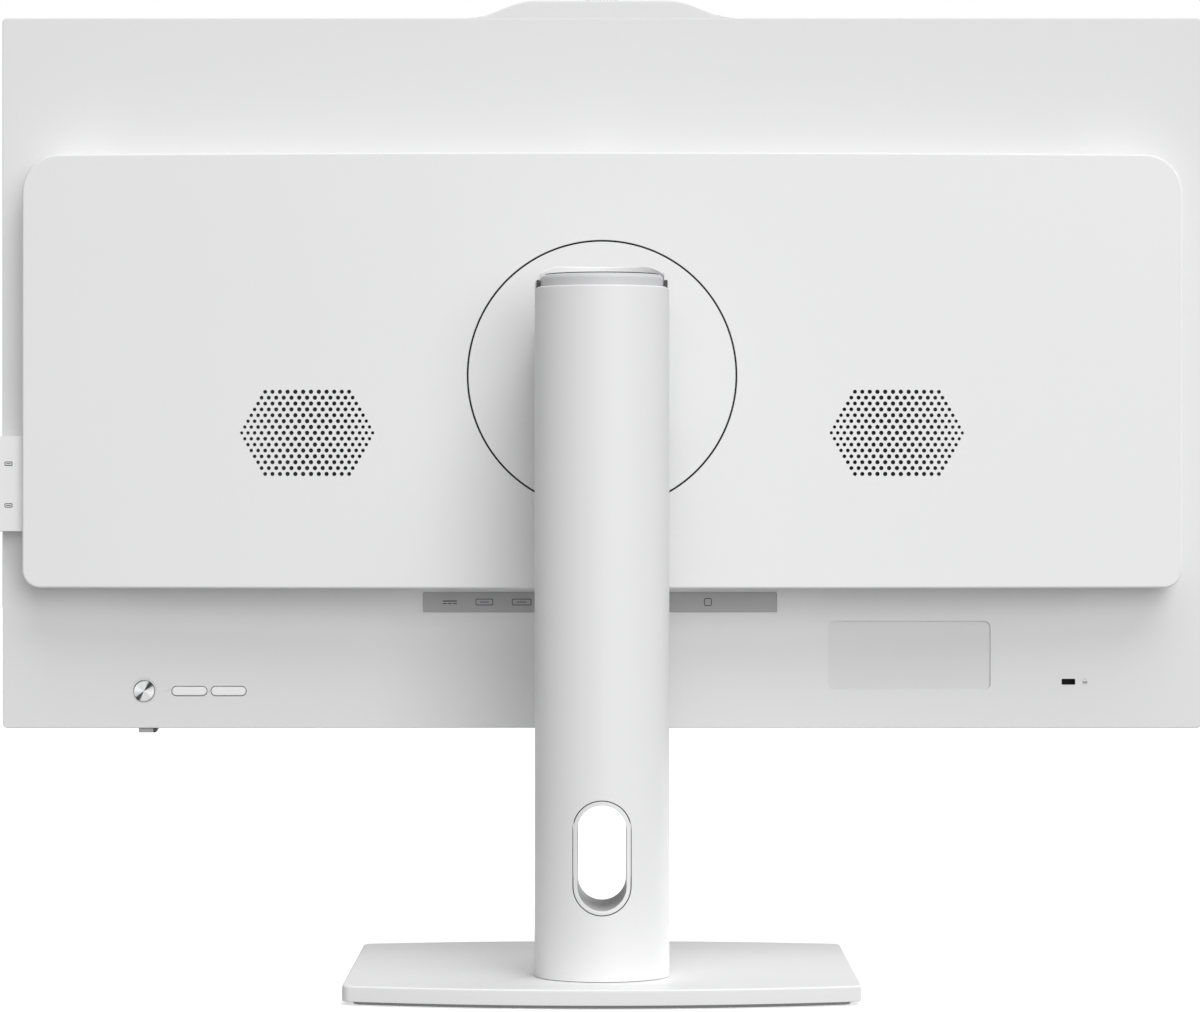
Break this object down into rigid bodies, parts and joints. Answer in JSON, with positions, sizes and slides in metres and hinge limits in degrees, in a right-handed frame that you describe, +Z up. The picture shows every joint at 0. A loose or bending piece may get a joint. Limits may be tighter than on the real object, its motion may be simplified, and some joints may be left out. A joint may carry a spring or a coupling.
{
  "type": "all-in-one desktop computer",
  "caption": "Flat-panel all-in-one desktop computer with a raised rear housing, on a weighted base with a height-adjusting, tilting column stand.",
  "frame": {"origin": "middle of the base's underside, on the desk", "axes": "+Z up; the screen faces -Y and the housing's rear faces +Y; +X is to the left of someone looking at the rear"},
  "size_m": [0.6118, 0.2, 0.4951],
  "materials": {
    "white_plastic": "fine moulded texture, white",
    "grey_plastic": "mid grey, fine texture",
    "dark_plastic": "charcoal, fine texture",
    "black_rubber": "matt non-slip",
    "steel": "zinc-plated sheet and bar",
    "aluminium": "die cast, spun on the power button",
    "screen_glass": "dark anti-glare display face",
    "circuit_board": "green solder mask",
    "copper": "bare copper tube"
  },
  "bodies": {
    "stand": {"base_shell": "white_plastic", "base_weight": "steel", "base_pad": "black_rubber", "base_screw": "steel", "column_front_shell": "white_plastic", "column_rear_cover": "white_plastic", "column_cap": "grey_plastic", "cable_hole_liner": "white_plastic", "column_spine": "steel", "guide_rail_left": "steel", "guide_rail_right": "steel", "spring_tape": "steel"},
    "carriage": {"carriage_block": "aluminium", "head_arm": "aluminium", "hinge_pin": "steel", "head_cover": "white_plastic"},
    "spring_drum": {"spring_drum": "steel"},
    "display": {"tilt_bracket": "steel", "tilt_screw_1": "steel", "tilt_screw_2": "steel", "tilt_screw_3": "steel", "tilt_screw_4": "steel", "mount_disc": "white_plastic", "mount_bracket": "steel", "rear_cover": "white_plastic", "rear_shell": "white_plastic", "front_bezel": "white_plastic", "lcd_panel": "screen_glass", "chassis_plate": "steel", "motherboard": "circuit_board", "cpu_cooler": "aluminium", "heat_pipe": "copper", "heatsink_fins": "aluminium", "fan_housing": "dark_plastic", "speaker_left": "dark_plastic", "speaker_right": "dark_plastic", "ssd_module": "circuit_board", "memory_module": "circuit_board", "io_plate": "steel", "dc_socket": "dark_plastic", "hdmi_socket": "steel", "display_socket": "steel", "usb_socket_1": "steel", "usb_socket_2": "steel", "lan_socket": "dark_plastic", "audio_socket": "dark_plastic", "side_io_block": "white_plastic", "side_usb_socket_1": "steel", "side_usb_socket_2": "steel", "port_label_strip": "grey_plastic", "camera_housing": "white_plastic", "camera_lens": "screen_glass", "led_window": "grey_plastic", "lock_slot_insert": "steel", "button_board": "circuit_board"},
    "fan": {"fan_rotor": "dark_plastic"},
    "power_button": {"power_button": "aluminium"},
    "menu_button_1": {"menu_button_1": "white_plastic"},
    "menu_button_2": {"menu_button_2": "white_plastic"},
    "privacy_slider": {"privacy_slider": "dark_plastic"}
  },
  "joints": [
    {"name": "height_slide", "type": "slide", "parent": "stand", "child": "carriage", "axis": [0, 0, 1], "range_m": [-0.095, 0.015], "deforming": ["spring_tape"]},
    {"name": "spring_drum_turn", "type": "hinge", "parent": "carriage", "child": "spring_drum", "pos_m": [0, 0.04, 0.305], "axis": [1, 0, 0], "range_deg": [-620, 620]},
    {"name": "display_tilt", "type": "hinge", "parent": "carriage", "child": "display", "pos_m": [0, -0.007, 0.3015], "axis": [-1, 0, 0], "range_deg": [-5, 20]},
    {"name": "fan_spin", "type": "hinge", "parent": "display", "child": "fan", "pos_m": [0.15, -0.05, 0.35], "axis": [0, 1, 0], "continuous": true},
    {"name": "power_press", "type": "slide", "parent": "display", "child": "power_button", "axis": [0, -1, 0], "range_m": [0, 0.0008], "stiffness_N_per_m": 1500},
    {"name": "menu_press_1", "type": "slide", "parent": "display", "child": "menu_button_1", "axis": [0, -1, 0], "range_m": [0, 0.0008], "stiffness_N_per_m": 1500},
    {"name": "menu_press_2", "type": "slide", "parent": "display", "child": "menu_button_2", "axis": [0, -1, 0], "range_m": [0, 0.0008], "stiffness_N_per_m": 1500},
    {"name": "privacy_slide", "type": "slide", "parent": "display", "child": "privacy_slider", "axis": [1, 0, 0], "range_m": [-0.008, 0.008]}
  ],
  "couplings": [
    {"joint": "spring_drum_turn", "follows": "height_slide", "rad_per_m": -107.53}
  ]
}
